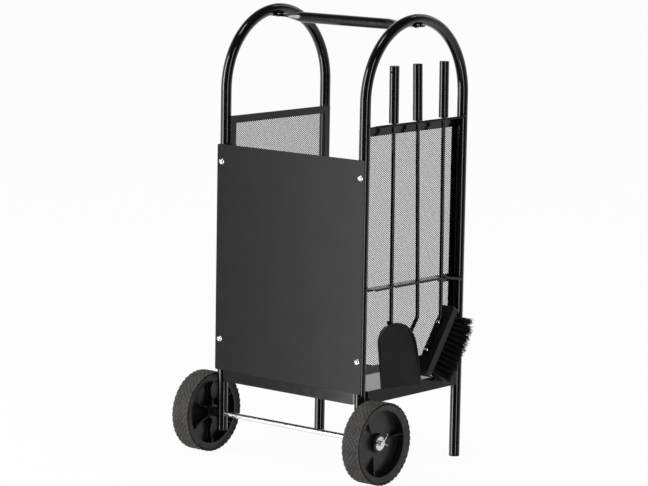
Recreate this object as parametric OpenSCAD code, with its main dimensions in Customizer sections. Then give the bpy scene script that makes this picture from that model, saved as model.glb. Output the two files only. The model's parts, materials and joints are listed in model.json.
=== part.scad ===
// Fireside log cart: two bent tube hoops, a front sheet, a folded log tray, mesh sides,
// two wheels on one axle, and a shovel, a poker and a brush that hang on the right side.
// Millimetres, +Z up. -Y is the front, where the sheet and the wheels are, and +X is the
// tool side. The origin lies on the floor, in the middle of the cart's outline.

/* [Frame] */
// Height to the top of the hoops
cart_h = 800; // [720:5:900]
// Outside diameter of the hoop tube
pipe_d = 19; // [18:0.5:22]
// Wall of the hoop tube
pipe_wall = 1.5; // [1:0.1:2.5]
// Distance between the two hoops, centre to centre
hoop_gap = 315.5; // [280:0.5:360]
// Distance between the two legs of a hoop, centre to centre
leg_gap = 273; // [260:1:320]
// Height of the front legs' ends above the floor
front_leg_end = 42; // [35:1:60]

/* [Handle bar] */
// Diameter of the handle bar
bar_d = 19; // [16:0.5:22]
// Length of the round middle of the handle bar
bar_round = 190; // [150:2:210]
// Thickness of the bar's flattened ends
lug_t = 2.8; // [2:0.1:4]
// Width of the flattened ends
lug_w = 28; // [22:1:32]
// How far a flattened end runs past the middle of its hoop
lug_reach = 15; // [12:1:24]

/* [Front panel] */
// Height of the front sheet
panel_h = 405; // [300:5:420]
// Thickness of the front sheet
panel_t = 1.2; // [0.8:0.1:2]
// Distance of a panel screw from the sheet's upper or lower edge, upper then lower
panel_screw_in = [31, 56]; // [20:1:80]

/* [Tray] */
// Height of the tray floor's underside
tray_z = 133; // [125:0.5:150]
// Height of the tray's folded lip
tray_lip = 23.5; // [18:0.5:30]
// Thickness of the tray sheet
tray_t = 1.5; // [1:0.1:2]
// Height of the tray's low rear hem
tray_hem = 3; // [2:0.5:12]
// How far the front sheet overlaps the tray's front lip
panel_lap = 3.5; // [1:0.5:8]

/* [Mesh sides] */
// Height of the gap between the tray lip and a mesh side
side_gap = 23.5; // [15:0.5:40]
// Drop from the top of the hoops to the top of a mesh side
side_drop = 192; // [180:1:260]
// Width of the mesh side's border bars
border_w = 13.5; // [10:0.5:16]
// Thickness of the border bars
border_t = 3; // [2.4:0.1:5]
// Thickness of the net
net_t = 0.8; // [0.5:0.1:1.2]
// Width of one diamond of the net
net_cell_w = 35; // [30:1:60]
// Height of one diamond of the net
net_cell_h = 22; // [20:1:40]
// Width of a strand of the net
net_strand = 2.4; // [1.5:0.1:4]

/* [Tool rails] */
// Distance between the tools
tool_pitch = 70; // [66:0.5:76]
// Thickness of the two slotted rails
rail_t = 2; // [1.5:0.1:2.5]
// Reach of the upper rail from the mesh side
rail_reach = 31; // [28:0.5:36]
// Upward slope of the upper rail
rail_slope = 14; // [10:1:20]
// Rise of the lower rail above the mesh side's lower end
guard_rise = 151; // [130:1:160]
// Reach of the lower rail from the mesh side
guard_reach = 27; // [26:0.5:33]
// Upward slope of the lower rail
guard_slope = 4; // [2:1:12]
// Width of a tool slot
slot_w = 9.4; // [9:0.1:11]
// Distance of the slots' blind ends from the mesh side
slot_in = 11.5; // [10:0.5:13]

/* [Wheels] */
// Diameter of a wheel
wheel_d = 144; // [130:1:170]
// Width of a wheel
wheel_w = 36; // [30:1:40]
// Thickness of the rubber tyre around the plastic rim
tyre_t = 11; // [8:0.5:18]
// Wall of the rim, web and boss
hub_wall = 3; // [2:0.5:4]
// Depth of the dish on the wheel's outer side
dish_depth = 14; // [10:0.5:18]
// How far the hub's edges lie behind the tyre's sides
rim_in = 4; // [2:0.5:6]
// Height of the hub's boss above the dish
boss_h = 7.2; // [4:0.1:9]
// Gap between a leg and its wheel
wheel_gap = 10.5; // [6:0.5:16]
// Diameter of the axle
axle_d = 10; // [8:0.5:12]
// How far the axle runs past its outer washer
axle_tail = 5.6; // [5:0.1:8]

/* [Tools] */
// Diameter of the tool handles
grip_d = 17; // [14:0.5:20]
// Length of the tool handles
grip_l = 97; // [80:1:120]
// Diameter of the tool shafts
shaft_d = 7; // [6:0.5:8]
// Distance of each tool's shaft from the mesh side at the upper rail
tool_out = [19, 16.4, 18.8]; // [16.3:0.1:21]
// Lean of each tool, lower end outwards
tool_lean = [0.5, 1.5, 0.6]; // [0:0.1:1.6]
// Height of the lowest tool above the tray lip
tool_clear = 4.5; // [3:0.5:10]
// Width of the shovel blade at its mouth
blade_w = 84; // [70:1:90]
// Width of the shovel blade at its shoulder
shoulder_w = 73; // [60:1:76]
// Length of the shovel blade
blade_l = 111; // [90:1:120]
// Depth of the blade's folded rim
blade_rim = 10.5; // [6:0.5:12]
// Tilt of the blade, lower end outwards
blade_tilt = 15.5; // [5:0.5:18]
// Turn of the blade about its shaft
blade_turn = 18.5; // [5:0.5:22]
// Sideways step of the poker below the lower rail
poker_step = 24; // [15:1:26]
// Length of the brush block
block_l = 131; // [110:1:135]
// Width of the brush block
block_w = 27; // [24:0.5:30]
// Thickness of the brush block
block_t = 14; // [12:0.5:16]
// Tilt of the brush block from upright
block_tilt = 35.5; // [30:0.5:40]
// Sideways step of the brush block from its shaft, outwards
block_out = 5; // [0:0.5:7]
// Length of the bristles
bristle_l = 51; // [35:1:54]

/* [Hidden] */
$fn = 64;
eps = 0.01;
// Clearance of a screw, bolt or pin in a drilled sheet or tube
hole_fit = 0.2;
// Clearance of a part that only has to pass between the legs
pass_fit = 0.2;
// Radial clearance of a wheel on the axle
axle_fit = 0.05;

// Thinning of a rod at its bends, and how far the straight stretches reach over them
bend_thin = 0.05;
bend_seat = 0.3;

pipe_r = pipe_d / 2;
hoop_x = hoop_gap / 2;
leg_y = leg_gap / 2;
arch_z = cart_h - pipe_r - leg_y;
inner_x = hoop_x - pipe_r;
outer_x = hoop_x + pipe_r;
inner_y = leg_y - pipe_r;
outer_y = leg_y + pipe_r;
axle_z = wheel_d / 2;
// The outline's middle: the wheels reach further forward than the feet reach back, and
// the shovel reaches further right than the left wheel reaches left
cart_y = (wheel_d / 2 - pipe_r) / 2;
// Plastic end plugs of the legs
plug_rim = 3;
plug_l = 16;

// Handle bar and its screws
lug_top = cart_h - pipe_d;
bar_drop = 2.4;
bar_taper = 36;
bar_screw_d = 6;
bar_head = [12, 3.6];
rivet_d = 9;
rivet_l = 11;

// Front sheet and its screws
panel_z = tray_z + tray_lip - panel_lap;
panel_screw_z = [panel_z + panel_h - panel_screw_in[0], panel_z + panel_screw_in[1]];
panel_screw_d = 4.8;
panel_head = [11, 3];
panel_corner_r = 3;
screw_l = 9;
tray_screw_d = 4;
tray_head = [8, 2.4];
tray_screw_z = tray_z + tray_lip / 2;

// Mesh sides
side_z = tray_z + tray_lip + side_gap;
side_top = cart_h - side_drop;
side_h = side_top - side_z;
net_groove = 3;
net_fit = 0.1;

// Tool rails: the flange of each lies on the mesh border, and the slotted plate
// starts at the flange's outer face
rail_flange = 8;
guard_flange = 5;
guard_lug_l = 45;
guard_lug_h = 12;
guard_dip = 9.6;
guard_dip_in = 2;
guard_dip_over = 1;
rail_lip = 4;
rail_corner = 8;
rail_z = side_top;
guard_z = side_z + guard_rise;
rail_x = inner_x + rail_t;
rail_half = inner_y - pass_fit;

// The middle of a slot's round blind end
slot_x = inner_x + slot_in + slot_w / 2;
shaft_r = shaft_d / 2;
grip_r = grip_d / 2;
grip_wall = 1.5;
cap_t = 2.5;
cap_l = 10;
grip_seat = 0.2;
// Where a handle stands on the sloping rail
function tool_x(i) = inner_x + tool_out[i];
function grip_z(i) = rail_z + (tool_x(i) + grip_r - rail_x) * tan(rail_slope)
    + rail_t / cos(rail_slope) + grip_seat;
tool_low = tray_z + tray_lip + tool_clear;
tool_y = [-tool_pitch, 0, tool_pitch];
shaft_in_grip = 40;

// Shovel
blade_t = 1.2;
blade_top = tool_low + blade_l * cos(blade_tilt);
blade_shift = 4.5;
blade_cut = 60;
tang_l = 24;
tang_up = 5;
tang_t = 2.5;
tang_w = 11;
// The right reach of the shovel, from the middle between the hoops
blade_x = tool_x(0) + (rail_z - blade_top) * tan(tool_lean[0]);
blade_reach = blade_x + blade_l * sin(blade_tilt) * cos(blade_turn)
    + blade_w / 2 * sin(blade_turn) + blade_t * cos(blade_tilt) * cos(blade_turn);

// Poker
poker_bend = 39;
poker_bend_r = 12;
spur_l = 14;
spur_up = 12;
spur_angle = 50;
point_l = 16;
point_r = 0.6;
poker_rise = 111;
poker_bend_z = tool_low + poker_rise;

// Brush
brush_bend_r = 8;
strap_w = 12;
strap_t = 4;
strap_from = 4;
strap_to = 73;
strap_join = 2.5;
crown_h = 2.4;
crown_in = 6;
crown_side = 0.5;
brush_screw_y = [strap_from + 6.5, strap_to - 7.5];
brush_screw_grip = 8;
block_over = 25;
block_lift = 5.5;
block_corner = 3;
tuft_slice = 2;
tuft_rows = 40;
tuft_lines = 10;
tuft_field_w = 17;
tuft_edge = 9;
strand_w = 1.3;
strand_tip = 0.7;
tuft_lean = 10;
tuft_rake = 9;
tuft_fan = 8;
tuft_round = 0.2;
brush_screw_d = 3.5;
brush_head = [7.5, 2.4];

// Wheels
washer_t = 1.6;
washer_d = 24;
spacer_d = 17;
side_play = 0.3;
wheel_x = outer_x + wheel_gap;
wheel_out = wheel_x + wheel_w;
rim_d = wheel_d - 2 * tyre_t;
// The hub's planes, from the tyre's inner side
hub_in = rim_in - 2;
hub_out = wheel_w - rim_in;
web_out = hub_out - dish_depth;
face_out = web_out + boss_h;
boss_in = 1;
cart_x = -max(0, blade_reach - wheel_out) / 2;
boss_r = 13;
boss_base_r = 17;
face_r = 15.5;
rib_from = 25;
rib_t = 2.5;
rib_arc_r = 28;
rib_arc_back = 23;
outer_ribs = 3;
inner_ribs = 6;
pin_d = 3.2;
pin_fit = 0.3;
pin_eye_r = 2.4;
pin_neck_turn = 55;
pin_bend_r = 1.5;
pin_leg_turn = [23, 52];
pin_leg_l = [12, 18];
washer_x = wheel_x + face_out + side_play;
pin_x = washer_x + washer_t + pin_d / 2 + pin_fit;
axle_end = washer_x + washer_t + axle_tail;

black = [0.04, 0.04, 0.04];
sheet_black = [0.10, 0.10, 0.10];
zinc = [0.75, 0.77, 0.80];
rubber_black = [0.13, 0.13, 0.12];
plastic_black = [0.06, 0.06, 0.06];

// ---------------------------------------------------------------- shared shapes

// Moves a part drawn around the hoops' middle to its place over the origin
module on_cart() {
    translate([cart_x, cart_y, 0]) children();
}

// A cylinder along +X from the origin
module rod_x(d, l) {
    rotate([0, 90, 0]) cylinder(d = d, h = l);
}

// A cylinder along +Y from the origin
module rod_y(d, l) {
    rotate([-90, 0, 0]) cylinder(d = d, h = l);
}

// A sheet in the XZ plane with round corners, its back face on y = 0, towards -Y
module round_sheet(w, h, r, t) {
    rotate([90, 0, 0]) linear_extrude(t) {
        translate([-w / 2 + r, 0]) square([w - 2 * r, h]);
        translate([-w / 2, r]) square([w, h - 2 * r]);
        for (x = [-w / 2 + r, w / 2 - r], z = [r, h - r]) translate([x, z]) circle(r);
    }
}

// A pan-head screw along -Z from its seat, with a domed head above
module pan_screw(head_d, head_h, d, l) {
    dome_r = (pow(head_d / 2, 2) + pow(head_h, 2)) / (2 * head_h);
    intersection() {
        cylinder(d = head_d, h = head_h);
        translate([0, 0, head_h - dome_r]) sphere(dome_r);
    }
    translate([0, 0, -l]) cylinder(d = d, h = l + eps);
}

// A rod of radius r, down along -Z from the origin. Each step is the length of a straight
// stretch, the angle that it then bends towards -Y, and the radius of that bend. The bends
// are drawn thinner by bend_thin, and the straight stretches reach over their ends
module bent_rod(r, steps, i = 0) {
    l = steps[i][0];
    bend = steps[i][1];
    bend_r = steps[i][2];
    above = i > 0 ? bend_seat : 0;
    below = bend != 0 ? bend_seat : 0;
    translate([0, 0, -l]) {
        if (l > 0 || i > 0) translate([0, 0, -below]) cylinder(r = r, h = l + above + below);
        if (bend != 0) mirror([0, bend < 0 ? 1 : 0, 0]) translate([0, -bend_r, 0])
            rotate([-90, 0, 90]) rotate_extrude(angle = abs(bend))
                translate([bend_r, 0]) circle(r - bend_thin);
        if (i < len(steps) - 1)
            translate([0, -sign(bend) * bend_r * (1 - cos(bend)), -bend_r * sin(abs(bend))])
                rotate([-bend, 0, 0]) bent_rod(r, steps, i + 1);
    }
}

// ---------------------------------------------------------------- frame

// One hoop as a bar of radius r: the arch and both legs, lengthened by extra below
module hoop_bar(r, extra = 0) {
    translate([0, 0, arch_z]) rotate([90, 0, 90])
        rotate_extrude(angle = 180) translate([leg_y, 0]) circle(r);
    for (end = [[-leg_y, front_leg_end + plug_rim], [leg_y, plug_rim]])
        translate([0, end[0], end[1] - extra]) cylinder(r = r, h = arch_z - end[1] + extra);
}

// A hoop with the holes for the axle, the front sheet, the tray and the handle bar.
// side is +1 for the right hoop and -1 for the left one
module hoop(side) {
    color(black) on_cart() translate([side * hoop_x, 0, 0]) difference() {
        hoop_bar(pipe_r);
        hoop_bar(pipe_r - pipe_wall, extra = 1);
        translate([-pipe_d, -leg_y, axle_z]) rod_x(axle_d + hole_fit, 2 * pipe_d);
        for (z = panel_screw_z)
            translate([0, -outer_y - 1, z]) rod_y(panel_screw_d + hole_fit, pipe_r);
        translate([0, -inner_y - pipe_r / 2, tray_screw_z])
            rod_y(tray_screw_d + hole_fit, pipe_r);
        translate([0, inner_y - pipe_r / 2, tray_screw_z])
            rod_y(tray_screw_d + hole_fit, pipe_r);
        translate([0, 0, lug_top - pipe_r]) cylinder(d = rivet_d + hole_fit, h = pipe_d);
    }
}

// A plastic plug that closes the end of a leg, its flat foot on z = 0
module leg_plug() {
    cylinder(r = pipe_r, h = plug_rim);
    cylinder(r = pipe_r - pipe_wall - hole_fit / 2, h = plug_l);
}

module rear_foot_plugs() {
    color(plastic_black) on_cart()
        for (side = [-1, 1]) translate([side * hoop_x, leg_y, 0]) leg_plug();
}

module front_leg_plugs() {
    color(plastic_black) on_cart()
        for (side = [-1, 1]) translate([side * hoop_x, -leg_y, front_leg_end]) leg_plug();
}

// The handle bar: a round tube whose ends are drawn down to flat lugs that lie under
// the hoops and are shaped to them
module handle_bar() {
    bar_z = lug_top - bar_drop;
    wall = 1.5;
    taper_end = bar_round / 2 + bar_taper;
    color(black) on_cart() difference() {
        union() {
            difference() {
                translate([-bar_round / 2, 0, bar_z]) rod_x(bar_d, bar_round);
                translate([-bar_round / 2 + 2, 0, bar_z])
                    rod_x(bar_d - 2 * wall, bar_round - 4);
            }
            for (side = [-1, 1]) mirror([side < 0 ? 1 : 0, 0, 0]) {
                hull() {
                    translate([bar_round / 2 - 1, 0, bar_z]) rod_x(bar_d, 1, $fn = 32);
                    translate([taper_end, -lug_w / 2, lug_top - lug_t])
                        cube([1, lug_w, lug_t]);
                }
                translate([taper_end, -lug_w / 2, lug_top - lug_t])
                    cube([hoop_x + lug_reach - lug_w / 3 - taper_end, lug_w, lug_t]);
                translate([hoop_x + lug_reach - lug_w / 2, 0, lug_top - lug_t])
                    cylinder(d = lug_w, h = lug_t);
            }
        }
        for (side = [-1, 1]) translate([side * hoop_x, 0, 0]) {
            hoop_bar(pipe_r + eps);
            translate([0, 0, lug_top - 2 * lug_t])
                cylinder(d = bar_screw_d + 2 * hole_fit, h = 4 * lug_t);
        }
    }
}

module handle_screws() {
    color(zinc) on_cart() for (side = [-1, 1])
        translate([side * hoop_x, 0, lug_top - lug_t]) mirror([0, 0, 1])
            pan_screw(bar_head[0], bar_head[1], bar_screw_d, lug_t + rivet_l + 2);
}

// Threaded rivets in the undersides of the hoops, one for each handle screw
module handle_rivet_nuts() {
    color(zinc) on_cart() for (side = [-1, 1]) translate([side * hoop_x, 0, lug_top + hole_fit])
        difference() {
            cylinder(d = rivet_d, h = rivet_l);
            translate([0, 0, -1]) cylinder(d = bar_screw_d + hole_fit / 2, h = rivet_l + 2);
        }
}

// ---------------------------------------------------------------- sheet parts

module front_panel() {
    color(sheet_black) on_cart() difference() {
        translate([0, -outer_y, panel_z])
            round_sheet(2 * outer_x, panel_h, panel_corner_r, panel_t);
        for (side = [-1, 1], z = panel_screw_z)
            translate([side * hoop_x, -outer_y - 2 * panel_t, z])
                rod_y(panel_screw_d + hole_fit, 3 * panel_t);
    }
}

module panel_screws() {
    color(zinc) on_cart() for (side = [-1, 1], z = panel_screw_z)
        translate([side * hoop_x, -outer_y - panel_t, z]) rotate([90, 0, 0])
            pan_screw(panel_head[0], panel_head[1], panel_screw_d, screw_l);
}

// The log tray: a floor with notched corners, four folded lips between the legs, and
// at each corner a folded tab that is screwed to the leg's inner side
module tray() {
    tab_x = outer_x - inner_x;
    color(sheet_black) on_cart() difference() {
        union() {
            translate([-outer_x, -inner_y, tray_z]) cube([2 * outer_x, 2 * inner_y, tray_t]);
            translate([-inner_x, -outer_y, tray_z]) cube([2 * inner_x, 2 * outer_y, tray_t]);
            translate([-inner_x, -outer_y, tray_z]) cube([2 * inner_x, tray_t, tray_lip]);
            translate([-inner_x, outer_y - tray_t, tray_z])
                cube([2 * inner_x, tray_t, tray_hem]);
            for (x = [-outer_x, outer_x - tray_t])
                translate([x, -inner_y, tray_z]) cube([tray_t, 2 * inner_y, tray_lip]);
            for (x = [-outer_x, inner_x], y = [-inner_y, inner_y - tray_t])
                translate([x, y, tray_z]) cube([tab_x, tray_t, tray_lip]);
        }
        for (side = [-1, 1])
            translate([side * hoop_x, -inner_y - pipe_r, tray_screw_z])
                rod_y(tray_screw_d + hole_fit, 2 * inner_y + pipe_d);
    }
}

module tray_screws() {
    color(zinc) on_cart() for (side = [-1, 1], end = [-1, 1])
        translate([side * hoop_x, end * (inner_y - tray_t), tray_screw_z])
            rotate([end * 90, 0, 0])
                pan_screw(tray_head[0], tray_head[1], tray_screw_d, screw_l - 2);
}

// ---------------------------------------------------------------- mesh sides

// The flat-bar border of a mesh side, grooved inside for the net
module mesh_frame(side) {
    net_slot = net_t + 2 * net_fit;
    color(black) on_cart() mirror([side < 0 ? 1 : 0, 0, 0]) difference() {
        translate([inner_x - border_t, -leg_y, side_z]) cube([border_t, leg_gap, side_h]);
        translate([inner_x - border_t - 1, -leg_y + border_w, side_z + border_w])
            cube([border_t + 2, leg_gap - 2 * border_w, side_h - 2 * border_w]);
        translate([inner_x - border_t / 2 - net_slot / 2, -leg_y + border_w - net_groove,
                   side_z + border_w - net_groove])
            cube([net_slot, leg_gap - 2 * (border_w - net_groove),
                  side_h - 2 * (border_w - net_groove)]);
    }
}

// The diamond openings of a net w wide and h high, centred, in whole cells
module net_openings(w, h) {
    half_w = (net_cell_w - net_strand * 1.2) / 2;
    half_h = (net_cell_h - net_strand * 1.2 * net_cell_h / net_cell_w) / 2;
    cols = floor(w / net_cell_w);
    rows = floor(h / net_cell_h);
    for (j = [0 : 2 * rows - 2], i = [0 : cols - 1 - j % 2])
        translate([(i - (cols - 1) / 2 + (j % 2) / 2) * net_cell_w,
                   (j / 2 - (rows - 1) / 2) * net_cell_h])
            polygon([[-half_w, 0], [0, -half_h], [half_w, 0], [0, half_h]]);
}

module mesh_net(side) {
    w = leg_gap - 2 * (border_w - net_groove) - 2 * net_fit;
    h = side_h - 2 * (border_w - net_groove) - 2 * net_fit;
    color(black) on_cart() translate([side * (inner_x - border_t / 2) - net_t / 2, 0,
                                      side_z + side_h / 2])
        rotate([90, 0, 90]) linear_extrude(net_t) difference() {
            square([w, h], center = true);
            net_openings(leg_gap - 2 * border_w, side_h - 2 * border_w);
        }
}

// ---------------------------------------------------------------- tool rails

// A rail with open slots for the tool shafts: a flange on the mesh border and a plate
// that slopes up and outwards, with its outer edge turned down
module slotted_rail(z, reach, slope, flange) {
    plate_l = (reach - rail_t) / cos(slope);
    corner = rail_corner;
    difference() {
        union() {
            translate([inner_x, -rail_half, z - flange]) cube([rail_t, 2 * rail_half, flange]);
            translate([rail_x, 0, z]) rotate([0, -slope, 0]) {
                translate([-rail_t / 2, -rail_half, 0])
                    cube([plate_l + rail_t / 2 - corner, 2 * rail_half, rail_t]);
                translate([0, -rail_half + corner, 0])
                    cube([plate_l, 2 * (rail_half - corner), rail_t]);
                for (end = [-1, 1])
                    translate([plate_l - corner, end * (rail_half - corner), 0])
                        cylinder(r = corner, h = rail_t);
                translate([plate_l - rail_t, -rail_half + corner, rail_t - rail_lip])
                    cube([rail_t, 2 * (rail_half - corner), rail_lip]);
            }
        }
        for (y = tool_y) translate([slot_x, y, z - 5]) {
            cylinder(d = slot_w, h = reach);
            translate([0, -slot_w / 2, 0]) cube([2 * reach, slot_w, reach]);
        }
    }
}

module tool_rail() {
    color(black) on_cart() slotted_rail(rail_z, rail_reach, rail_slope, rail_flange);
}

// The lower rail dips behind its last slot, over a deeper lug with a slanted edge
module tool_guard() {
    lug_edge = rail_half - guard_lug_l;
    dip_y = tool_y[2] + slot_w / 2 + guard_dip_in;
    dip_l = (rail_half - dip_y - rail_lip * sin(guard_dip)) / cos(guard_dip);
    plate_l = (guard_reach - rail_t) / cos(guard_slope);
    color(black) on_cart() {
        difference() {
            slotted_rail(guard_z, guard_reach, guard_slope, guard_flange);
            translate([rail_x, dip_y, guard_z - rail_lip])
                cube([guard_reach, rail_half, guard_reach]);
        }
        translate([rail_x, dip_y, guard_z]) rotate([-guard_dip, 0, 0])
            rotate([0, -guard_slope, 0]) {
                translate([-rail_t / 2, -guard_dip_over, 0])
                    cube([plate_l + rail_t / 2, dip_l + guard_dip_over, rail_t]);
                translate([plate_l - rail_t, -guard_dip_over, rail_t - rail_lip])
                    cube([rail_t, dip_l + guard_dip_over, rail_lip]);
            }
        translate([inner_x, 0, guard_z]) rotate([90, 0, 90]) linear_extrude(rail_t) polygon([
            [lug_edge, -guard_flange + 1], [lug_edge + guard_lug_h, -guard_lug_h],
            [rail_half, -guard_lug_h], [rail_half, -guard_flange + 1]
        ]);
    }
}

// ---------------------------------------------------------------- axle and wheels

module axle() {
    color(zinc) on_cart() translate([0, -leg_y, axle_z]) difference() {
        translate([-axle_end, 0, 0]) rod_x(axle_d, 2 * axle_end);
        for (side = [-1, 1]) translate([side * pin_x, -axle_d, 0])
            rod_y(pin_d + hole_fit, 2 * axle_d);
    }
}

// A pair of rings on the axle, l long, their near faces at x from the middle
module ring_pair(d, x, l) {
    on_cart() translate([0, -leg_y, axle_z])
        for (side = [-1, 1]) mirror([side < 0 ? 1 : 0, 0, 0]) translate([x, 0, 0])
            difference() {
                rod_x(d, l);
                translate([-1, 0, 0]) rod_x(axle_d + 2 * axle_fit, l + 2);
            }
}

module wheel_spacers() {
    color(plastic_black)
        ring_pair(spacer_d, outer_x + side_play / 2, wheel_gap + boss_in - side_play);
}

module wheel_washers() {
    color(zinc) ring_pair(washer_d, washer_x - side_play / 2, washer_t);
}

// A split pin through the axle along Y: an eye in front and two legs bent apart behind
module cotter_pin() {
    wire_r = pin_d / 4 - 0.03;
    leg_z = pin_d / 4;
    leg_in = axle_d / 2 + pin_fit;
    leg_out = axle_d / 2 + 1;
    neck_r = (pin_eye_r * cos(pin_neck_turn) - leg_z) / (1 - cos(pin_neck_turn));
    eye_y = -leg_in - pin_eye_r * (1 + sin(pin_neck_turn)) - neck_r * sin(pin_neck_turn);
    for (leg = [0, 1]) mirror([0, 0, leg]) translate([0, eye_y, 0])
        bent_rod(wire_r, [
            [0, -90 - pin_neck_turn, pin_eye_r],
            [0, pin_neck_turn, neck_r],
            [leg_in + leg_out, pin_leg_turn[leg], pin_bend_r],
            [pin_leg_l[leg], 0, 0]
        ]);
    translate([0, eye_y, 0]) cylinder(r = wire_r, h = 2 * bend_seat, center = true);
}

module cotter_pins() {
    color(zinc) on_cart() for (side = [-1, 1])
        translate([side * pin_x, -leg_y, axle_z]) cotter_pin();
}

// The wheel's hub around its own axis; x = 0 is the tyre's inner side
module wheel_hub() {
    rim_r = rim_d / 2;
    bore_r = axle_d / 2 + axle_fit;
    dish_r = rim_r - hub_wall;
    web_in = web_out - hub_wall;
    difference() {
        union() {
            rotate([90, 0, 90]) rotate_extrude() polygon([
                [0, boss_in], [boss_r, boss_in], [boss_r, web_in],
                [dish_r - 2, web_in], [dish_r - 1, hub_in],
                [rim_r, hub_in], [rim_r, hub_out], [dish_r, hub_out],
                [dish_r - 2, web_out], [boss_base_r, web_out], [face_r, face_out], [0, face_out]
            ]);
            for (i = [0 : outer_ribs - 1]) rotate([10.5 + i * 360 / outer_ribs, 0, 0])
                translate([0, 0, -rib_t / 2]) linear_extrude(rib_t) polygon([
                    [web_out - 1, rib_from], [web_out + 1, rib_from],
                    [hub_out - 1, dish_r - 1], [web_out - 1, dish_r - 1]
                ]);
            for (i = [0 : inner_ribs - 1]) rotate([30 + i * 360 / inner_ribs, 0, 0])
                translate([0, 0, -rib_t / 2]) linear_extrude(rib_t) difference() {
                    translate([hub_in + 1, boss_r - 1])
                        square([web_in - hub_in, dish_r - boss_r]);
                    translate([hub_in - rib_arc_back, (boss_r + dish_r) / 2]) circle(r = rib_arc_r);
                }
        }
        rod_x(2 * bore_r, wheel_w + 2);
    }
}

// The tyre around the wheel's axis, with rounded shoulders
module tyre() {
    rim_r = rim_d / 2;
    tread_r = wheel_d / 2;
    shoulder = 4;
    half = wheel_w / 2;
    arc = [for (a = [0 : 15 : 90]) [sin(a), cos(a)] * shoulder];
    rotate([90, 0, 90]) translate([0, 0, wheel_w / 2]) rotate_extrude() polygon(concat(
        [[rim_r, -half + hub_in]],
        [for (p = arc) [tread_r - shoulder + p[0], -half + shoulder - p[1]]],
        [for (i = [len(arc) - 1 : -1 : 0])
            [tread_r - shoulder + arc[i][0], half - shoulder + arc[i][1]]],
        [[rim_r, half - rim_in]]
    ));
}

// Puts a part drawn along the wheel's axis at the right or the left wheel
module at_wheel(side) {
    on_cart() mirror([side < 0 ? 1 : 0, 0, 0])
        translate([wheel_x, -leg_y, axle_z]) children();
}

// ---------------------------------------------------------------- tools

// Puts a tool that is drawn around its shaft, with heights above the floor, in its slot
module at_tool(i) {
    on_cart() translate([tool_x(i), tool_y[i], rail_z]) rotate([0, -tool_lean[i], 0])
        translate([0, 0, -rail_z]) children();
}

module tool_handle(i) {
    color(black) at_tool(i) translate([0, 0, grip_z(i)]) difference() {
        cylinder(r = grip_r, h = grip_l);
        translate([0, 0, -1]) cylinder(r = grip_r - grip_wall, h = grip_l + 2);
        if (i == 0) translate([0, -grip_d, grip_l - 9]) rod_y(3.5, 2 * grip_d);
    }
}

// The plugs in a handle: a blind one on top and one that holds the shaft below
module tool_caps(i) {
    plug_r = grip_r - grip_wall - hole_fit / 2;
    color(plastic_black) at_tool(i) {
        translate([0, 0, grip_z(i) + grip_l]) {
            cylinder(r = grip_r - 0.4, h = cap_t / 2);
            translate([0, 0, -cap_t]) cylinder(r = plug_r, h = cap_t + eps);
        }
        translate([0, 0, grip_z(i) + 0.4]) difference() {
            cylinder(r = plug_r, h = cap_l);
            translate([0, 0, -1]) cylinder(r = shaft_r + hole_fit / 4, h = cap_l + 2);
        }
    }
}

// The straight part of a tool's shaft, from inside its handle down to height z
module straight_shaft(i, z) {
    translate([0, 0, z]) cylinder(r = shaft_r, h = grip_z(i) + shaft_in_grip - z);
}

// The blade's outline, mouth on y = 0 and the round shoulder on top, drawn in by inset
function blade_outline(inset) =
    let (r = shoulder_w / 2 - inset, mouth = blade_w / 2 - inset,
         cy = blade_l - shoulder_w / 2)
    concat([[-mouth, 0], [mouth, 0]], [for (a = [0 : 10 : 180]) [r * cos(a), cy + r * sin(a)]]);

// Puts a part drawn on the shovel blade at the blade: x across, y up from the mouth, and
// z towards the open side, with z = 0 on the sheet's back
module at_blade() {
    at_tool(0) translate([0, blade_shift, blade_top]) rotate([0, 0, -blade_turn])
        rotate([0, -blade_tilt, 0]) translate([0, 0, -blade_l])
            rotate([90, 0, 90]) children();
}

// The shaft ends above the blade in a flat tang that is welded to the blade's back
module shovel_shaft() {
    color(black) {
        at_tool(0) straight_shaft(0, blade_top + 1.6);
        at_blade() translate([-tang_w / 2 - blade_shift, blade_l - tang_l, -tang_t])
            cube([tang_w, tang_l + tang_up, tang_t]);
    }
}

module shovel_blade() {
    color(sheet_black) at_blade() difference() {
        linear_extrude(blade_rim) polygon(blade_outline(0));
        translate([0, 0, blade_t]) linear_extrude(blade_rim) polygon(blade_outline(blade_t));
        translate([-blade_w, 0, 0]) rotate([90, 0, 90]) linear_extrude(2 * blade_w)
            polygon([[-1, blade_t], [2, blade_t], [blade_cut, blade_rim], [-1, blade_rim]]);
    }
}

// The poker: a step towards the front, a straight end with a point, and a spur
module poker_shaft() {
    bend_l = poker_bend_r * tan(poker_bend / 2);
    run = poker_step / sin(poker_bend);
    top_z = grip_z(1) + shaft_in_grip;
    point_z = tool_low + point_l;
    low_z = poker_bend_z - run * cos(poker_bend);
    color(black) at_tool(1) {
        translate([0, 0, top_z]) bent_rod(shaft_r, [
            [top_z - poker_bend_z - bend_l, poker_bend, poker_bend_r],
            [run - 2 * bend_l, -poker_bend, poker_bend_r],
            [low_z - bend_l - point_z, 0, 0]
        ]);
        translate([0, -poker_step, 0]) {
            translate([0, 0, tool_low])
                cylinder(r1 = point_r, r2 = shaft_r - bend_thin, h = point_l + bend_seat);
            translate([0, 0, point_z + spur_up]) rotate([-spur_angle, 0, 0])
                cylinder(r1 = shaft_r - 0.2, r2 = point_r, h = spur_l);
        }
    }
}

// Puts a part drawn on the brush at the brush: x across, y down along the strap, and
// z towards the bristles, with the origin where the shaft's axis bends
module at_brush() {
    at_tool(2) translate([0, 0, brush_bend_z]) rotate([-90 - block_tilt, 0, 0]) children();
}
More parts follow.
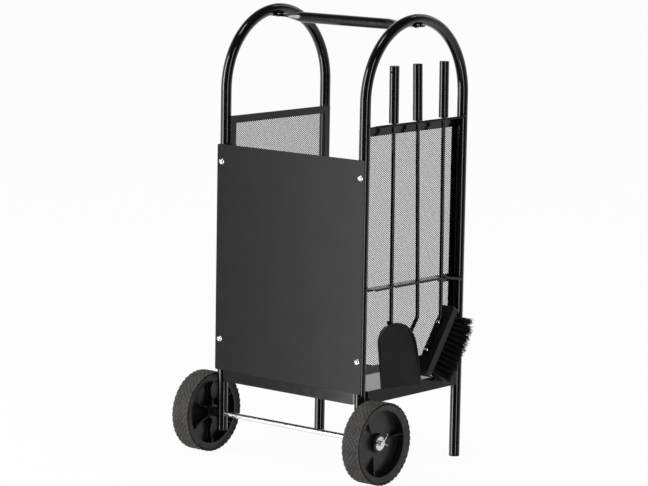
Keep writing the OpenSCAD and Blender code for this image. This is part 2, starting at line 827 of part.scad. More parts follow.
// The lower end of the bristle face stands at the lowest height of the tools
brush_bend_z = tool_low + block_lift + (block_l - block_over) * cos(block_tilt)
    + (strap_t / 2 + block_t) * sin(block_tilt);

// The strap's back is rounded between its screws
module strap_crown() {
    crown_r = (pow(strap_w / 2, 2) + pow(crown_h, 2)) / (2 * crown_h);
    crown_from = brush_screw_y[0] + crown_in;
    crown_l = brush_screw_y[1] - crown_in - crown_from;
    intersection() {
        translate([0, crown_from, crown_r - crown_h - strap_t / 2]) rod_y(2 * crown_r, crown_l);
        translate([-strap_w / 2 + crown_side, crown_from - 1, -strap_t / 2 - crown_h - 1])
            cube([strap_w - 2 * crown_side, crown_l + 2, crown_h + 2]);
    }
}

module brush_shaft() {
    top_z = grip_z(2) + shaft_in_grip;
    bend_l = brush_bend_r * tan(block_tilt / 2);
    color(black) difference() {
        union() {
            at_tool(2) translate([0, 0, top_z]) bent_rod(shaft_r, [
                [top_z - brush_bend_z - bend_l, block_tilt, brush_bend_r],
                [strap_from + strap_join - bend_l, 0, 0]
            ]);
            at_brush() translate([-strap_w / 2, strap_from, -strap_t / 2])
                cube([strap_w, strap_to - strap_from, strap_t]);
            at_brush() strap_crown();
        }
        at_brush() for (y = brush_screw_y) translate([0, y, -strap_t])
            cylinder(d = brush_screw_d + hole_fit, h = 2 * strap_t);
    }
}

module brush_block() {
    r = block_corner;
    w = block_w;
    groove_top = 4;
    groove_l = groove_top + strap_from + strap_join + pass_fit;
    color(plastic_black) at_brush() difference() {
        translate([block_out, -block_over, strap_t / 2]) linear_extrude(block_t) {
            translate([-w / 2 + r, 0]) square([w - 2 * r, block_l]);
            translate([-w / 2, r]) square([w, block_l - 2 * r]);
            for (x = [-w / 2 + r, w / 2 - r], y = [r, block_l - r]) translate([x, y]) circle(r);
        }
        for (y = brush_screw_y) translate([0, y, 0])
            cylinder(d = brush_screw_d + hole_fit, h = strap_t / 2 + brush_screw_grip + 1);
        // Room for the round end of the shaft above the strap
        translate([0, -groove_top, 0]) rod_y(2 * (shaft_r + pass_fit), groove_l);
    }
}

module brush_screws() {
    color(zinc) at_brush() for (y = brush_screw_y) translate([0, y, -strap_t / 2])
        mirror([0, 0, 1])
            pan_screw(brush_head[0], brush_head[1], brush_screw_d, strap_t + brush_screw_grip);
}

// One strand as a tapered three-sided prism from root to tip
module strand(root, tip) {
    ring = [for (a = [90, 210, 330]) [cos(a), sin(a), 0]];
    polyhedron(
        points = concat([for (p = ring) root + p * strand_w / 2],
                        [for (p = ring) tip + p * strand_tip / 2]),
        faces = [[0, 1, 2], [5, 4, 3], [0, 3, 4], [0, 4, 1], [1, 4, 5], [1, 5, 2],
                 [2, 5, 3], [2, 3, 0]]
    );
}

// The bristles: a slice of the block's bristle side and rows of strands that spread
// towards the ends, rake upwards and lean outwards. The uppermost rows are shorter
module brush_bristles() {
    field_l = block_l - 2 * tuft_edge;
    top = tuft_edge - block_over;
    color(rubber_black) at_brush() translate([block_out, top, strap_t / 2 + block_t]) {
        translate([-tuft_field_w / 2 - 1, -1, 0]) cube([tuft_field_w + 2, field_l + 2, tuft_slice]);
        for (j = [0 : tuft_rows - 1], i = [0 : tuft_lines - 1]) {
            u = (i + (j % 2) / 2) / (tuft_lines - 0.5) - 0.5;
            v = j / (tuft_rows - 1) - 0.5;
            root = [u * tuft_field_w, (v + 0.5) * field_l, tuft_slice - 0.5];
            fan = 2 * v * tuft_fan - tuft_rake;
            lean = tuft_lean + u * 8;
            reach = bristle_l * (1 - tuft_round * pow(max(0, -2 * v), 8));
            strand(root, root + reach * [tan(lean), tan(fan), 1]);
        }
    }
}

hoop(-1);  // left_hoop
hoop(1);  // right_hoop
rear_foot_plugs();
front_leg_plugs();
handle_bar();
handle_screws();
handle_rivet_nuts();
front_panel();
panel_screws();
tray();
tray_screws();
mesh_frame(-1);  // left_mesh_frame
mesh_net(-1);  // left_mesh
mesh_frame(1);  // right_mesh_frame
mesh_net(1);  // right_mesh
tool_rail();
tool_guard();
axle();
wheel_spacers();
wheel_washers();
cotter_pins();
color(plastic_black) at_wheel(-1) wheel_hub();  // left_wheel_hub
color(rubber_black) at_wheel(-1) tyre();  // left_tyre
color(plastic_black) at_wheel(1) wheel_hub();  // right_wheel_hub
color(rubber_black) at_wheel(1) tyre();  // right_tyre
tool_handle(0);  // shovel_handle
tool_caps(0);  // shovel_caps
shovel_shaft();
shovel_blade();
tool_handle(1);  // poker_handle
tool_caps(1);  // poker_caps
poker_shaft();
tool_handle(2);  // brush_handle
tool_caps(2);  // brush_caps
brush_shaft();
brush_block();
brush_bristles();
brush_screws();
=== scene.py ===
"""Looks for the fireside log cart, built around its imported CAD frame."""

import json
import math
import random

import bpy
from mathutils import Matrix, Vector


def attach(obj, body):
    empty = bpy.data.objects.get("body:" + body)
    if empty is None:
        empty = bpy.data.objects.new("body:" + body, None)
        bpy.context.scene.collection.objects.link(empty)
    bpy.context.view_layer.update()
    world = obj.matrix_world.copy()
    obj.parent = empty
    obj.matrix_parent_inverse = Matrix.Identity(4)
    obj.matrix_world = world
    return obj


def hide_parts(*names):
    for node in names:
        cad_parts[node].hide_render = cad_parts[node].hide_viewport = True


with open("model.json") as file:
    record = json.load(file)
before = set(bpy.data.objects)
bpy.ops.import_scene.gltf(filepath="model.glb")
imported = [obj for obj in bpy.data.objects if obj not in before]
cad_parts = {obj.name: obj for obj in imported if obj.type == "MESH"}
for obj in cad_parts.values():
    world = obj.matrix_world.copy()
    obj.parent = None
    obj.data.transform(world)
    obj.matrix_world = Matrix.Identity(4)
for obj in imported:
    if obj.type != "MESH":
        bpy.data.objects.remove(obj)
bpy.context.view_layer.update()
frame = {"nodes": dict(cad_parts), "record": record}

MM = 0.001
# The lengths below are in mm: the middle of the hoops, and the top of the tool rail
HOOP_X, HOOP_Y = 157.75, 31.25
RAIL_Z = 608


# ---------------------------------------------------------------- camera, stage and light


def add_camera():
    data = bpy.data.cameras.new("camera")
    data.sensor_width = 36
    data.lens = 167.592
    data.clip_end = 60
    camera = bpy.data.objects.new("camera", data)
    bpy.context.scene.collection.objects.link(camera)
    axes = Matrix(
        (
            (0.76866869, -0.10908089, 0.63027756),
            (0.63941722, 0.10461986, -0.76170880),
            (0.01714833, 0.98851204, 0.15016621),
        )
    )
    place = Vector((3.35440351, -4.07258500, 1.18762487))
    camera.matrix_world = Matrix.Translation(place) @ axes.to_4x4()
    bpy.context.scene.camera = camera


def seen_ray(nodes, links):
    """A value of 1 for rays that show the background itself: camera, mirror and glass."""
    path = nodes.new("ShaderNodeLightPath")
    value = path.outputs["Is Camera Ray"]
    for name in ("Is Transmission Ray", "Is Glossy Ray"):
        most = nodes.new("ShaderNodeMath")
        most.operation = "MAXIMUM"
        links.new(value, most.inputs[0])
        links.new(path.outputs[name], most.inputs[1])
        value = most.outputs[0]
    return value


# The studio is white behind and to the left of the cart, and dark above its tool side
DARK_AZIMUTH, DARK_ELEVATION = 55, 50
WHITE_UNTIL, DARK_FROM = -0.38, 0.40
DARK_SHADE = 0.04
AMBIENT = 0.42


def way_to(azimuth, elevation):
    """The direction from the cart. Azimuth 0 is in front, positive to the right."""
    az, el = math.radians(azimuth), math.radians(elevation)
    return Vector((math.sin(az) * math.cos(el), -math.cos(az) * math.cos(el), math.sin(el)))


def studio_surround(nodes, links):
    """The surround that glossy surfaces show: white, with one dark side."""
    generated = nodes.new("ShaderNodeTexCoord").outputs["Generated"]
    dot = nodes.new("ShaderNodeVectorMath")
    dot.operation = "DOT_PRODUCT"
    dot.inputs[1].default_value = way_to(DARK_AZIMUTH, DARK_ELEVATION)
    links.new(generated, dot.inputs[0])
    shade = nodes.new("ShaderNodeMapRange")
    shade.interpolation_type = "SMOOTHSTEP"
    shade.inputs["From Min"].default_value = WHITE_UNTIL
    shade.inputs["From Max"].default_value = DARK_FROM
    shade.inputs["To Min"].default_value = 1.0
    shade.inputs["To Max"].default_value = DARK_SHADE
    links.new(dot.outputs["Value"], shade.inputs["Value"])
    return shade.outputs["Result"]


def background(nodes, strength):
    node = nodes.new("ShaderNodeBackground")
    node.inputs["Color"].default_value = (1, 1, 1, 1)
    node.inputs["Strength"].default_value = strength
    return node


def add_world():
    world = bpy.data.worlds.new("studio")
    bpy.context.scene.world = world
    world.use_nodes = True
    nodes, links = world.node_tree.nodes, world.node_tree.links
    nodes.clear()
    ambient = background(nodes, AMBIENT)
    white = background(nodes, 1.0)
    surround = background(nodes, 1.0)
    links.new(studio_surround(nodes, links), surround.inputs["Strength"])
    path = nodes.new("ShaderNodeLightPath")
    shown = nodes.new("ShaderNodeMixShader")
    links.new(path.outputs["Is Glossy Ray"], shown.inputs["Fac"])
    links.new(white.outputs[0], shown.inputs[1])
    links.new(surround.outputs[0], shown.inputs[2])
    mix = nodes.new("ShaderNodeMixShader")
    links.new(seen_ray(nodes, links), mix.inputs["Fac"])
    links.new(ambient.outputs[0], mix.inputs[1])
    links.new(shown.outputs[0], mix.inputs[2])
    out = nodes.new("ShaderNodeOutputWorld")
    links.new(mix.outputs[0], out.inputs["Surface"])


FLOOR_REACH, FLOOR_STEPS = 32, 16  # metres each way from the cart
FLOOR_PALE = 0.84
FLOOR_GLOW = 0.96


def add_floor():
    """A wide pale floor, white to the camera but for the cart's shadow."""
    spots = [FLOOR_REACH * (2 * i / FLOOR_STEPS - 1) for i in range(FLOOR_STEPS + 1)]
    row = len(spots)
    verts = [(x, y, 0.0) for y in spots for x in spots]
    faces = [
        (a, a + 1, a + 1 + row, a + row)
        for j in range(FLOOR_STEPS)
        for a in range(j * row, j * row + FLOOR_STEPS)
    ]
    mesh = bpy.data.meshes.new("floor")
    mesh.from_pydata(verts, [], faces)
    floor = bpy.data.objects.new("floor", mesh)
    bpy.context.scene.collection.objects.link(floor)
    mat = bpy.data.materials.new("floor")
    mat.use_nodes = True
    nodes, links = mat.node_tree.nodes, mat.node_tree.links
    nodes.clear()
    pale = nodes.new("ShaderNodeBsdfDiffuse")
    pale.inputs["Color"].default_value = (FLOOR_PALE, FLOOR_PALE, FLOOR_PALE, 1)
    glow = nodes.new("ShaderNodeEmission")
    glow.inputs["Color"].default_value = (1, 1, 1, 1)
    glow.inputs["Strength"].default_value = 1.0
    share = nodes.new("ShaderNodeMath")
    share.operation = "MULTIPLY"
    share.inputs[1].default_value = FLOOR_GLOW
    links.new(seen_ray(nodes, links), share.inputs[0])
    mix = nodes.new("ShaderNodeMixShader")
    links.new(share.outputs[0], mix.inputs["Fac"])
    links.new(pale.outputs[0], mix.inputs[1])
    links.new(glow.outputs[0], mix.inputs[2])
    out = nodes.new("ShaderNodeOutputMaterial")
    links.new(mix.outputs[0], out.inputs["Surface"])
    mesh.materials.append(mat)
    floor.visible_glossy = False


LIGHT_AIM = Vector((0, 0, 0.4))


def add_light(name, azimuth, elevation, distance, size, watts):
    """A soft box on a sphere around the middle of the cart."""
    data = bpy.data.lights.new(name, "AREA")
    data.shape = "RECTANGLE"
    data.size, data.size_y = size
    data.energy = watts
    light = bpy.data.objects.new(name, data)
    bpy.context.scene.collection.objects.link(light)
    way = way_to(azimuth, elevation)
    light.location = LIGHT_AIM + way * distance
    light.rotation_euler = way.to_track_quat("Z", "Y").to_euler()
    light.visible_camera = False


add_camera()
bpy.context.scene.view_settings.view_transform = "Standard"
add_world()
add_floor()
add_light("strip_left", -27, 0, 2.9, (0.75, 4.4), 125)
add_light("strip_right", 68, 0, 2.9, (0.4, 4.4), 40)
add_light("soft_top", 10, 76, 3.2, (0.8, 0.8), 16)
add_light("soft_rear", 169, 39, 3.2, (0.35, 1.6), 5.5)


# ---------------------------------------------------------------- materials


class Look:
    """One procedural material: a base colour that varies, roughness and fine bump from noise."""

    def __init__(self, name, rough, metal=0.0, shine=0.5):
        self.mat = bpy.data.materials.new(name)
        self.mat.use_nodes = True
        self.nodes = self.mat.node_tree.nodes
        self.links = self.mat.node_tree.links
        self.shader = self.nodes["Principled BSDF"]
        self.shader.inputs["Roughness"].default_value = rough
        self.shader.inputs["Metallic"].default_value = metal
        self.shader.inputs["Specular IOR Level"].default_value = shine
        self.place = self.nodes.new("ShaderNodeTexCoord").outputs["Object"]
        self.normal = None

    def noise(self, scale, detail):
        node = self.nodes.new("ShaderNodeTexNoise")
        node.inputs["Scale"].default_value = scale
        node.inputs["Detail"].default_value = detail
        self.links.new(self.place, node.inputs["Vector"])
        return node.outputs["Fac"]

    def colour(self, value, stops):
        node = self.nodes.new("ShaderNodeValToRGB")
        parts = node.color_ramp.elements
        for i, (at, colour) in enumerate(stops):
            part = parts[i] if i < 2 else parts.new(at)
            part.position = at
            part.color = (*colour, 1)
        self.links.new(value, node.inputs["Fac"])
        self.links.new(node.outputs["Color"], self.shader.inputs["Base Color"])

    def rough(self, value, low, high):
        node = self.nodes.new("ShaderNodeMapRange")
        node.inputs["From Min"].default_value = 0.3
        node.inputs["From Max"].default_value = 0.7
        node.inputs["To Min"].default_value = low
        node.inputs["To Max"].default_value = high
        self.links.new(value, node.inputs["Value"])
        self.links.new(node.outputs["Result"], self.shader.inputs["Roughness"])

    def edge(self, radius):
        """Rounds the light on sharp edges."""
        node = self.nodes.new("ShaderNodeBevel")
        node.samples = 4
        node.inputs["Radius"].default_value = radius
        self.normal = node.outputs["Normal"]

    def bump(self, value, depth):
        node = self.nodes.new("ShaderNodeBump")
        node.inputs["Strength"].default_value = 1.0
        node.inputs["Distance"].default_value = depth
        self.links.new(value, node.inputs["Height"])
        if self.normal:
            self.links.new(self.normal, node.inputs["Normal"])
        self.normal = node.outputs["Normal"]

    def done(self):
        if self.normal:
            self.links.new(self.normal, self.shader.inputs["Normal"])
        return self.mat


def grey(v, warm=0.0):
    return (v * (1 + warm), v, v * (1 - warm))


def coated_steel(name, dark, light, rough, shine, grain, edge):
    """Black powder coat: faint cloudiness, a fine orange peel and rounded edges."""
    look = Look(name, rough, shine=shine)
    look.colour(look.noise(14, 4), ((0.35, grey(dark, 0.02)), (0.7, grey(light, 0.02))))
    look.rough(look.noise(60, 3), rough - 0.02, rough + 0.03)
    if edge:
        look.edge(edge)
    look.bump(look.noise(900, 2), grain)
    return look.done()


def zinc_plate():
    look = Look("zinc", 0.2, metal=1.0)
    look.colour(
        look.noise(90, 4),
        ((0.3, (0.66, 0.69, 0.73)), (0.5, (0.78, 0.80, 0.83)), (0.72, (0.84, 0.85, 0.86))),
    )
    look.rough(look.noise(240, 3), 0.16, 0.26)
    look.bump(look.noise(1200, 2), 0.000006)
    return look.done()


def tyre_rubber():
    look = Look("tyre_rubber", 0.7, shine=0.35)
    look.colour(look.noise(55, 5), ((0.3, grey(0.034, 0.05)), (0.7, grey(0.062, 0.05))))
    look.rough(look.noise(120, 3), 0.62, 0.82)
    look.bump(look.noise(1300, 3), 0.00012)
    return look.done()


def moulded(name, dark, light, rough, shine, grain):
    look = Look(name, rough, shine=shine)
    look.colour(look.noise(30, 3), ((0.35, grey(dark)), (0.7, grey(light))))
    look.rough(look.noise(80, 3), rough - 0.06, rough + 0.08)
    look.edge(0.0006)
    look.bump(look.noise(1800, 2), grain)
    return look.done()


def bristle_fibre():
    look = Look("bristle_black", 0.42, shine=0.35)
    look.colour(look.noise(420, 2), ((0.3, grey(0.002)), (0.75, grey(0.008))))
    look.rough(look.noise(300, 2), 0.35, 0.6)
    return look.done()


LOOKS = {
    "frame_black": coated_steel("frame_black", 0.0022, 0.0036, 0.12, 0.5, 0.000002, 0.0),
    "sheet_black": coated_steel("sheet_black", 0.0045, 0.0065, 0.30, 0.13, 0.000006, 0.0004),
    "mesh_black": coated_steel("mesh_black", 0.006, 0.010, 0.35, 0.4, 0.00003, 0.0),
    "zinc": zinc_plate(),
    "tyre_rubber": tyre_rubber(),
    "hub_plastic": moulded("hub_plastic", 0.004, 0.007, 0.32, 0.45, 0.00003),
    "plug_black": moulded("plug_black", 0.006, 0.010, 0.38, 0.45, 0.00004),
    "brush_plastic": moulded("brush_plastic", 0.006, 0.011, 0.42, 0.25, 0.00008),
    "bristle_black": bristle_fibre(),
}
# Some sheet parts have a finish of their own: tray and rails are smooth, the blade dull
RAIL_LOOK = coated_steel("rail_black", 0.003, 0.005, 0.14, 0.5, 0.000004, 0.0003)
NODE_LOOKS = {
    "tray": coated_steel("tray_black", 0.003, 0.005, 0.15, 0.22, 0.00001, 0.0003),
    "shovel_blade": coated_steel("blade_black", 0.018, 0.024, 0.3, 0.5, 0.00003, 0.0011),
    "tool_rail": RAIL_LOOK,
    "tool_guard": RAIL_LOOK,
}


# ---------------------------------------------------------------- pieces


def add_piece(name, shape, body, slot, node, sharp=None):
    """A shape in mm in the cart's frame, as a piece on a body in place of a CAD node."""
    mesh = bpy.data.meshes.new(name)
    mesh.from_pydata([(x * MM, y * MM, z * MM) for x, y, z in shape.verts], [], shape.faces)
    mesh.validate()
    if sharp is not None:
        mesh.shade_smooth()
        mesh.set_sharp_from_angle(angle=math.radians(sharp))
    mesh.materials.append(LOOKS[slot])
    piece = bpy.data.objects.new(name, mesh)
    bpy.context.scene.collection.objects.link(piece)
    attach(piece, body)
    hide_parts(node)


def turns(count):
    """The angles of a ring of count points."""
    return [2 * math.pi * i / count for i in range(count)]


class Shape:
    """Collects rings of points into one mesh."""

    def __init__(self):
        self.verts, self.faces = [], []

    def ring(self, points):
        first = len(self.verts)
        self.verts.extend(tuple(p) for p in points)
        return list(range(first, len(self.verts)))

    def bridge(self, a, b):
        for i in range(len(a)):
            j = (i + 1) % len(a)
            self.faces.append((a[i], a[j], b[j], b[i]))

    def cap(self, ring, back=False):
        self.faces.append(tuple(reversed(ring)) if back else tuple(ring))

    def loft(self, rings):
        rows = [self.ring(r) for r in rings]
        for a, b in zip(rows, rows[1:]):
            self.bridge(a, b)
        self.cap(rows[0], back=True)
        self.cap(rows[-1])


def smooth_step(t):
    t = min(1.0, max(0.0, t))
    return t * t * (3 - 2 * t)


# Expanded metal: zigzag strands that meet their neighbours at every bend
NET_X, NET_Z = 146.75, 394.0
NET_W, NET_H = 251.6, 406.4
CELL_Y, CELL_Z = 5.8, 3.8
STRAND_W, STRAND_T = 0.75, 0.55
STRAND_TILT = 0.12


def expanded_net(side):
    shape = Shape()
    bends = int(NET_W / (CELL_Y / 2))
    strands = int((NET_H - CELL_Z) / (CELL_Z / 2))
    swing = CELL_Z / 4
    high = STRAND_W / 2 / math.cos(math.atan2(CELL_Z, CELL_Y))
    for k in range(strands + 1):
        z0 = NET_Z + (k - strands / 2) * CELL_Z / 2
        rings = []
        for j in range(bends + 1):
            y = HOOP_Y + (j - bends / 2) * CELL_Y / 2
            z = z0 + swing * (1 if (j + k) % 2 else -1)
            near, far = side * (NET_X + STRAND_T / 2), side * (NET_X - STRAND_T / 2)
            tilt = side * STRAND_TILT
            rings.append(
                (
                    (near + tilt, y, z + high),
                    (far + tilt, y, z + high),
                    (far - tilt, y, z - high),
                    (near - tilt, y, z - high),
                )
            )
        shape.loft(rings)
    node = "right_mesh" if side > 0 else "left_mesh"
    add_piece(node + "_expanded", shape, "cart", "mesh_black", node)


# Tyre: smooth sides, and a tread of diamond blocks between diagonal grooves
AXLE_Y, AXLE_Z = -105.25, 72.0
TYRE_X = 177.75
TREAD_R, BEAD_R, TYRE_W = 72.0, 61.0, 36.0
WALL_IN = (2, 4)  # how far in the beads lie, on the inner and the outer side
WALL_RISE, WALL_BULGE, WALL_STEPS = 6.2, 0.8, 5
SHOULDER_R, SHOULDER_RISE, SHOULDER_POWER = 68, 4, 0.9
CROWN = 0.35
TREAD_EDGE = 4.5
BLOCKS, BLOCK_W = 42, 9.0
PER_BLOCK = 12  # points round each block; the cuts' widths are in these points
GROOVE, GROOVE_FLAT, GROOVE_SLOPE = 1.2, 0.45, 1.0
NOTCH, NOTCH_FLAT, NOTCH_SLOPE = 1.3, 0.9, 1.4
NOTCH_FROM = 1.3  # blocks from the middle


def tread_cut(q, v):
    """How deep the tread is cut at q blocks round and v blocks across from the middle."""
    near = min(abs(value - round(value)) for value in (q + v, q - v)) * PER_BLOCK
    return GROOVE * (1 - smooth_step((near - GROOVE_FLAT) / GROOVE_SLOPE))


def shoulder_cut(q, share):
    """How deep the notch between two shoulder blocks is at q blocks round."""
    off = abs(q - 0.5 - round(q - 0.5)) * PER_BLOCK
    return NOTCH * (1 - smooth_step((off - NOTCH_FLAT) / NOTCH_SLOPE)) * share


def tyre_profile():
    """(along the axle, radius, what cuts it, how much) from the inner bead to the outer."""
    half = TYRE_W / 2

    def wall(t):
        return BEAD_R + WALL_RISE * t + WALL_BULGE * math.sin(math.pi * t / 2)

    def shoulder(i):
        rise = math.sin(math.radians(i * 90 / (WALL_STEPS + 1)))
        return TREAD_EDGE * (1 - rise), SHOULDER_R + SHOULDER_RISE * rise ** SHOULDER_POWER

    points = []
    for i in range(WALL_STEPS + 1):
        t = i / WALL_STEPS
        points.append((WALL_IN[0] - WALL_IN[0] * t, wall(t), "side", t))
    for i in range(1, WALL_STEPS + 1):
        along, r = shoulder(i)
        points.append((along, r, "side", 1.0))
    steps = round((TYRE_W - 2 * TREAD_EDGE) / BLOCK_W * PER_BLOCK)
    for i in range(steps + 1):
        along = TREAD_EDGE + i * BLOCK_W / PER_BLOCK
        crown = CROWN * ((along - half) / half) ** 2
        points.append((along, TREAD_R - crown, "tread", (along - half) / BLOCK_W))
    for i in range(WALL_STEPS, 0, -1):
        along, r = shoulder(i)
        points.append((TYRE_W - along, r, "side", 1.0))
    for i in range(WALL_STEPS, -1, -1):
        t = i / WALL_STEPS
        points.append((TYRE_W - WALL_IN[1] + WALL_IN[1] * t, wall(t), "side", t))
    return points


def tyre(side):
    shape = Shape()
    angles = turns(BLOCKS * PER_BLOCK)
    rows = []
    for along, r, kind, value in tyre_profile():
        row = []
        for i, a in enumerate(angles):
            q = i / PER_BLOCK
            if kind == "tread":
                notch = shoulder_cut(q, 1.0) if abs(value) > NOTCH_FROM else 0
                cut = max(tread_cut(q, value), notch)
            else:
                cut = shoulder_cut(q, smooth_step((value - 0.35) / 0.6))
            row.append(
                (
                    side * (TYRE_X + along),
                    AXLE_Y + (r - cut) * math.cos(a) * side,
                    AXLE_Z + (r - cut) * math.sin(a),
                )
            )
        rows.append(shape.ring(row))
    for a, b in zip(rows, rows[1:] + rows[:1]):
        shape.bridge(a, b)
    hand = "right" if side > 0 else "left"
    node = hand + "_tyre"
    add_piece(node + "_tread", shape, hand + "_wheel", "tyre_rubber", node, sharp=32)


# Handle bar: a round tube whose ends are pressed flat and rounded under the hoops
BAR_Z, BAR_R = 778.6, 9.5
LUG_X, LUG_TOP, LUG_T, LUG_W = HOOP_X + 1.0, 781.0, 2.8, 28.0
PRESS_FROM, PRESS_L = 95, 36
HOOP_R = 127.0


def bar_section(x):
    """A round section that grows flat and wide, and lies against the hoop's bend."""
    t = smooth_step((abs(x) - PRESS_FROM) / PRESS_L)
    half_w = BAR_R + (LUG_W / 2 - BAR_R) * t
    half_t = BAR_R + (LUG_T / 2 - BAR_R) * t
    mid = BAR_Z + (LUG_TOP - LUG_T / 2 - BAR_Z) * t
    power = 2 + 4 * t
    past = abs(x) - LUG_X
    if past > 0:
        half_w = math.sqrt(max(0.05, (LUG_W / 2) ** 2 - past * past))
    ring = []
    for a in turns(48):
        c, s = math.cos(a), math.sin(a)
        k = (abs(c) ** power + abs(s) ** power) ** (-1 / power)
        y = half_w * k * c
        sink = t * y * y / (2 * HOOP_R)
        ring.append((x, HOOP_Y + y, mid + half_t * k * s - sink))
    return ring


def handle_bar():
    stations = [i * PRESS_FROM / 6 for i in range(6)]
    stations += [PRESS_FROM + PRESS_L * i / 14 for i in range(15)]
    stations += [139, 145]
    stations += [LUG_X + LUG_W / 2 * math.sin(math.radians(a)) for a in range(0, 89, 8)]
    stations += [LUG_X + LUG_W / 2 * 0.9998]
    shape = Shape()
    shape.loft([bar_section(x) for x in [-x for x in reversed(stations[1:])] + stations])
    add_piece("handle_bar_tube", shape, "cart", "frame_black", "handle_bar", sharp=50)


# Screws: domed heads with a cross recess
SCREW_POINTS, DOME_RINGS = 48, 12


def screw(shape, spot, axis, head_d, head_h, shank_d, shank_l):
    """One screw whose head sits at the spot and points along the axis."""
    r = head_d / 2
    dome = (r * r + head_h * head_h) / (2 * head_h)
    arm, reach, deep = head_d * 0.055, r * 0.6, head_h * 0.55
    turn = axis.to_track_quat("Z", "Y").to_matrix()
    twist = Matrix.Rotation(0.35 + 0.9 * len(shape.verts) % 1.3, 3, "Z")
    angles = turns(SCREW_POINTS)

    def put(x, y, z):
        return tuple(spot + turn @ (twist @ Vector((x, y, z))))

    def circle(radius, z):
        return shape.ring([put(radius * math.cos(a), radius * math.sin(a), z) for a in angles])

    def dome_z(x, y, radius):
        z = math.sqrt(max(0.0, dome * dome - radius * radius)) - (dome - head_h)
        if radius < reach and min(abs(x), abs(y)) < arm * 1.6:
            z -= deep * (1 - radius / reach * 0.5)
        return z

    rows = [circle(shank_d / 2, -shank_l), circle(shank_d / 2, 0), circle(r, 0)]
    shape.cap(rows[0], back=True)
    for k in range(1, DOME_RINGS):
        rr = r * (1 - k / DOME_RINGS) ** 0.9
        flat = [(rr * math.cos(a), rr * math.sin(a)) for a in angles]
        rows.append(shape.ring([put(x, y, dome_z(x, y, rr)) for x, y in flat]))
    for low, high in zip(rows, rows[1:]):
        shape.bridge(low, high)
    shape.cap(rows[-1])


def pan_screws(name, node, body, spots, axis, *sizes):
    shape = Shape()
    for spot in spots:
        screw(shape, Vector(spot), Vector(axis), *sizes)
    add_piece(name, shape, body, "zinc", node, sharp=40)


# Brush: tufts of fine bristles, in the axes of the brush's block
BRUSH_TURN = (
    Matrix.Translation((167.05, HOOP_Y + 70.0, RAIL_Z))
    @ Matrix.Rotation(math.radians(-0.6), 4, "Y")
    @ Matrix.Translation((0, 0, 262.09 - RAIL_Z))
    @ Matrix.Rotation(math.radians(-90 - 35.5), 4, "X")
)
TUFT_ROWS, TUFT_LINES, TUFT_HAIRS = 12, 4, 96
TUFT_RX, TUFT_RY = 2.3, 2.4
FIELD_MID = Vector((5.0, -16.0, 15.8))
FIELD_L, FIELD_W = 113.0, 17.0
FAN, FAN_MID, LEAN, LEAN_MID, TUFT_STRAY = 16, -9, 8, 10, 1.5
TUFT_OPEN_X, TUFT_OPEN_Y = 3.2, 3.4
HAIR_L, HAIR_UNEVEN, HAIR_BOW, HAIR_BEND = 51.0, 1.3, 1.2, 1.2
HAIR_STRAY_X, HAIR_STRAY_Y = 1.2, 1.1
HAIR_THIN, HAIR_THICK, HAIR_TAPER = 0.28, 0.4, 0.3
HAIR_CORNERS = (0.5, 2.6, 4.7)
HAIR_STEPS = 4
TOP_ROUND, TOP_POWER = 0.25, 4


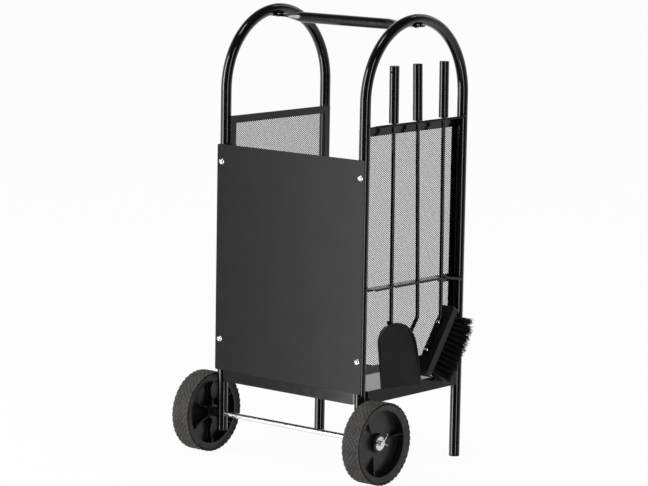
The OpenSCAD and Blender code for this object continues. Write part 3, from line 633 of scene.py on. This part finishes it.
def hair(shape, draw, u, v, fan, lean, reach):
    """One bristle of the tuft at u and v, which leans and bends a little by itself."""
    a, d = draw.uniform(0, 2 * math.pi), math.sqrt(draw.random())
    ox, oy = math.cos(a) * d, math.sin(a) * d
    root = FIELD_MID + Vector(
        (u * FIELD_W + ox * TUFT_RX, (v + 0.5) * FIELD_L + oy * TUFT_RY, 0)
    )
    lx = math.tan(math.radians(lean + ox * TUFT_OPEN_X + draw.gauss(0, HAIR_STRAY_X)))
    ly = math.tan(math.radians(fan + oy * TUFT_OPEN_Y + draw.gauss(0, HAIR_STRAY_Y)))
    tall = reach * (1 - 0.03 * d) + draw.gauss(0, HAIR_UNEVEN)
    sag = draw.gauss(0, HAIR_BOW)
    bow = draw.gauss(0, HAIR_BOW)
    thick = draw.uniform(HAIR_THIN, HAIR_THICK)
    rings = []
    for s in range(HAIR_STEPS + 1):
        t = s / HAIR_STEPS
        mid = root + Vector((lx * tall * t + sag * t * t * HAIR_BEND,
                             ly * tall * t + bow * t * t * HAIR_BEND, tall * t))
        w = thick * (1 - HAIR_TAPER * t)
        rings.append([BRUSH_TURN @ (mid + Vector((math.cos(c) * w, math.sin(c) * w, 0)))
                      for c in HAIR_CORNERS])
    shape.loft(rings)


def bristles():
    draw = random.Random(7)
    shape = Shape()
    for j in range(TUFT_ROWS):
        v = (j + 0.5) / TUFT_ROWS - 0.5
        for i in range(TUFT_LINES):
            u = (i + 0.5) / TUFT_LINES - 0.5
            fan = v * FAN + FAN_MID + draw.uniform(-TUFT_STRAY, TUFT_STRAY)
            lean = LEAN_MID + u * LEAN + draw.uniform(-TUFT_STRAY, TUFT_STRAY)
            reach = HAIR_L * (1 - TOP_ROUND * max(0.0, -2 * v) ** TOP_POWER)
            for _ in range(TUFT_HAIRS):
                hair(shape, draw, u, v, fan, lean, reach)
    add_piece("brush_tufts", shape, "brush", "bristle_black", "brush_bristles", sharp=60)


PANEL_FRONT = HOOP_Y - 146.0 - 1.2
PANEL_SCREW_Z = (209, 527)
HANDLE_SCREW_Z = 778.2
BRUSH_SCREW_Y = (10.5, 65.5)

for side in (-1, 1):
    expanded_net(side)
    tyre(side)
handle_bar()
# Each line of screws ends with head width, head height, shank width and shank length
pan_screws(
    "panel_screw_heads", "panel_screws", "cart",
    [(sx * HOOP_X, PANEL_FRONT, z) for sx in (-1, 1) for z in PANEL_SCREW_Z], (0, -1, 0),
    11, 3.4, 4.6, 6,
)
pan_screws(
    "handle_screw_heads", "handle_screws", "cart",
    [(sx * HOOP_X, HOOP_Y, HANDLE_SCREW_Z) for sx in (-1, 1)], (0, 0, -1),
    12, 3.6, 6, 8,
)
pan_screws(
    "brush_screw_heads", "brush_screws", "brush",
    [BRUSH_TURN @ Vector((0, y, -2)) for y in BRUSH_SCREW_Y],
    BRUSH_TURN.to_3x3() @ Vector((0, 0, -1)),
    7.5, 2.4, 3.5, 9,
)
bristles()

slots = {part["node"]: part["material_slot"] for part in frame["record"]["subparts"]}
for node, piece in frame["nodes"].items():
    piece.data.materials.clear()
    piece.data.materials.append(NODE_LOOKS.get(node, LOOKS[slots[node]]))
